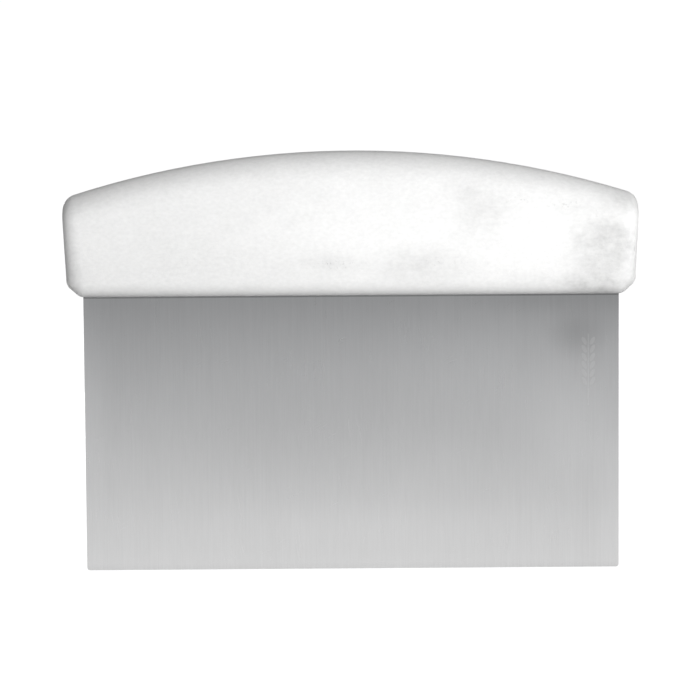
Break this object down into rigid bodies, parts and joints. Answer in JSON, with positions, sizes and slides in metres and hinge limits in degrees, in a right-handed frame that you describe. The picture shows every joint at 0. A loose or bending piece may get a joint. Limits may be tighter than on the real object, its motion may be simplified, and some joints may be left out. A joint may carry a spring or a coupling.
{
  "type": "bench scraper",
  "caption": "Hand-held bench scraper: a flat rectangular steel blade set into a long, rounded white plastic grip with an arched top.",
  "frame": {"origin": "middle of the blade's straight working edge, half-way through the sheet's thickness, which is the lowest part of the tool held upright", "axes": "+X along the working edge, +Y from the front face to the back face through the thickness, +Z from the working edge up to the arched palm side of the handle"},
  "size_m": [0.163, 0.018, 0.1195],
  "materials": {
    "blade_steel": "stainless sheet with a fine grain from edge to grip",
    "grip_plastic": "white polypropylene, satin",
    "pin_steel": "plain drawn stainless"
  },
  "bodies": {
    "root": {"blade": "blade_steel", "front_shell": "grip_plastic", "back_shell": "grip_plastic", "left_tang_pin": "pin_steel", "middle_tang_pin": "pin_steel", "right_tang_pin": "pin_steel"}
  },
  "joints": []
}
